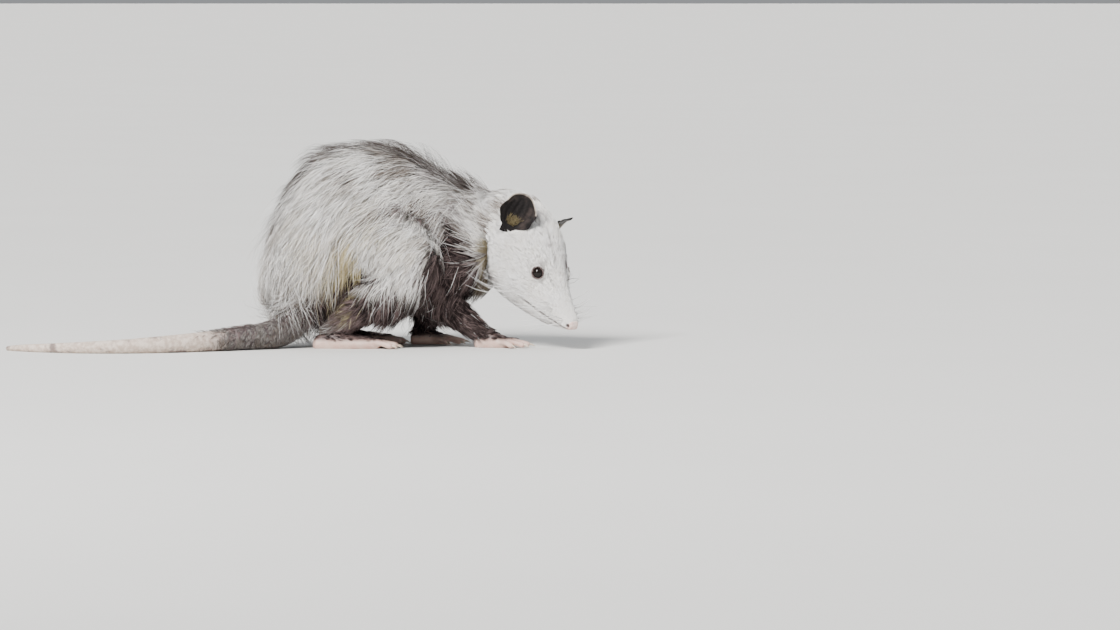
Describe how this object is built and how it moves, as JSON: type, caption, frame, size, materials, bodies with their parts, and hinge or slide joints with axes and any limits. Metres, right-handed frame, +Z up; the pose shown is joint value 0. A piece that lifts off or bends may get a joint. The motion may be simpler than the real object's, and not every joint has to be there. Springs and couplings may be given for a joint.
{
  "type": "opossum",
  "caption": "Still, life-size opossum standing on its four feet, back arched, head turned and lowered to sniff the ground, tail laid out behind.",
  "frame": {"origin": "middle of the bottom of the whole part's box, on the floor that its feet and tail rest on", "axes": "+X the way the animal faces with its body, +Y its left side, +Z up"},
  "size_m": [0.5482, 0.185, 0.1961],
  "materials": {
    "white_fur": "creamy white fur",
    "grey_fur": "pale grey-brown fur with dark guard hairs",
    "dark_fur": "brown-black fur",
    "bare_pink": "bare pink skin",
    "black_skin": "thin black skin",
    "claw_horn": "pale horn",
    "eye_black": "wet black eye"
  },
  "bodies": {
    "root": {"thigh_right": "grey_fur", "shank_right": "dark_fur", "hind_foot_right": "bare_pink", "upper_arm_right": "dark_fur", "forearm_right": "dark_fur", "forefoot_right": "bare_pink", "ear_right": "black_skin", "eye_right": "eye_black", "claw_hind_foot_right_1": "claw_horn", "claw_hind_foot_right_2": "claw_horn", "claw_hind_foot_right_3": "claw_horn", "claw_hind_foot_right_4": "claw_horn", "claw_forefoot_right_1": "claw_horn", "claw_forefoot_right_2": "claw_horn", "claw_forefoot_right_3": "claw_horn", "claw_forefoot_right_4": "claw_horn", "claw_forefoot_right_5": "claw_horn", "thigh_left": "grey_fur", "shank_left": "dark_fur", "hind_foot_left": "bare_pink", "upper_arm_left": "dark_fur", "forearm_left": "dark_fur", "forefoot_left": "bare_pink", "ear_left": "black_skin", "eye_left": "eye_black", "claw_hind_foot_left_1": "claw_horn", "claw_hind_foot_left_2": "claw_horn", "claw_hind_foot_left_3": "claw_horn", "claw_hind_foot_left_4": "claw_horn", "claw_forefoot_left_1": "claw_horn", "claw_forefoot_left_2": "claw_horn", "claw_forefoot_left_3": "claw_horn", "claw_forefoot_left_4": "claw_horn", "claw_forefoot_left_5": "claw_horn", "torso": "grey_fur", "neck": "white_fur", "head": "white_fur", "nose": "bare_pink", "tail_base": "grey_fur", "tail_middle": "bare_pink", "tail_tip": "bare_pink"}
  },
  "joints": []
}
